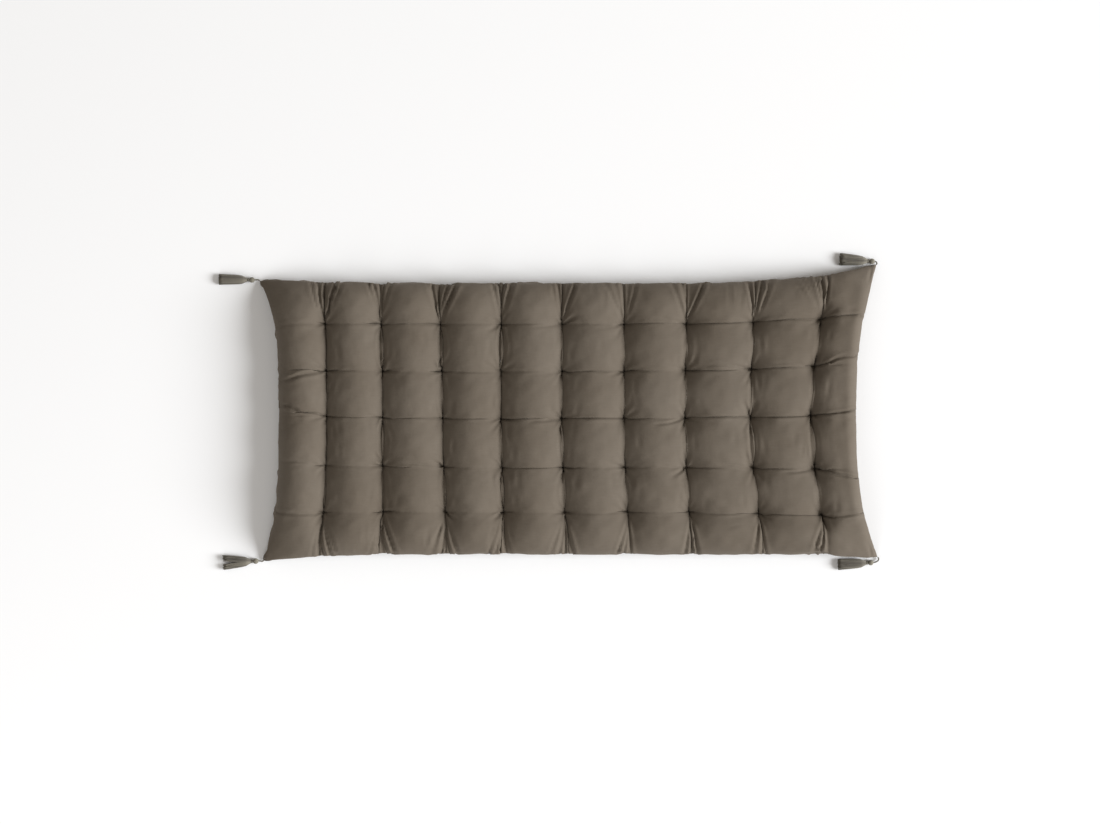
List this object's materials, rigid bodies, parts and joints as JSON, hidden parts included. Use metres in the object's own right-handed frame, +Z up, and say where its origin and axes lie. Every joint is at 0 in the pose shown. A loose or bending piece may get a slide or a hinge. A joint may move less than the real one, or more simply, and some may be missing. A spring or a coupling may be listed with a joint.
{
  "type": "floor mattress",
  "caption": "Tufted, softly filled rectangular floor mattress with drawn-in sides and a yarn tassel at each corner, for sitting or lying on.",
  "frame": {"origin": "on the floor, under the middle of the whole object's bounding box, tassels included", "axes": "+X along the mattress's long side, towards the end whose tassels are turned back; +Y across it, towards the far side; +Z up, out of the tufted upper face"},
  "size_m": [1.2822, 0.6158, 0.0697],
  "materials": {
    "cover_cloth": "plain-woven cotton, taupe, matt with a faint sheen on the crowns",
    "tassel_yarn": "soft spun cotton yarn, grey taupe, matt"
  },
  "bodies": {
    "root": {"mattress": "cover_cloth", "tassel_far_left_cord": "tassel_yarn", "tassel_far_left_head": "tassel_yarn", "tassel_far_left_neck": "tassel_yarn", "tassel_far_left_skirt": "tassel_yarn", "tassel_near_left_cord": "tassel_yarn", "tassel_near_left_head": "tassel_yarn", "tassel_near_left_neck": "tassel_yarn", "tassel_near_left_skirt": "tassel_yarn", "tassel_far_right_cord": "tassel_yarn", "tassel_far_right_head": "tassel_yarn", "tassel_far_right_neck": "tassel_yarn", "tassel_far_right_skirt": "tassel_yarn", "tassel_near_right_cord": "tassel_yarn", "tassel_near_right_head": "tassel_yarn", "tassel_near_right_neck": "tassel_yarn", "tassel_near_right_skirt": "tassel_yarn"}
  },
  "joints": []
}
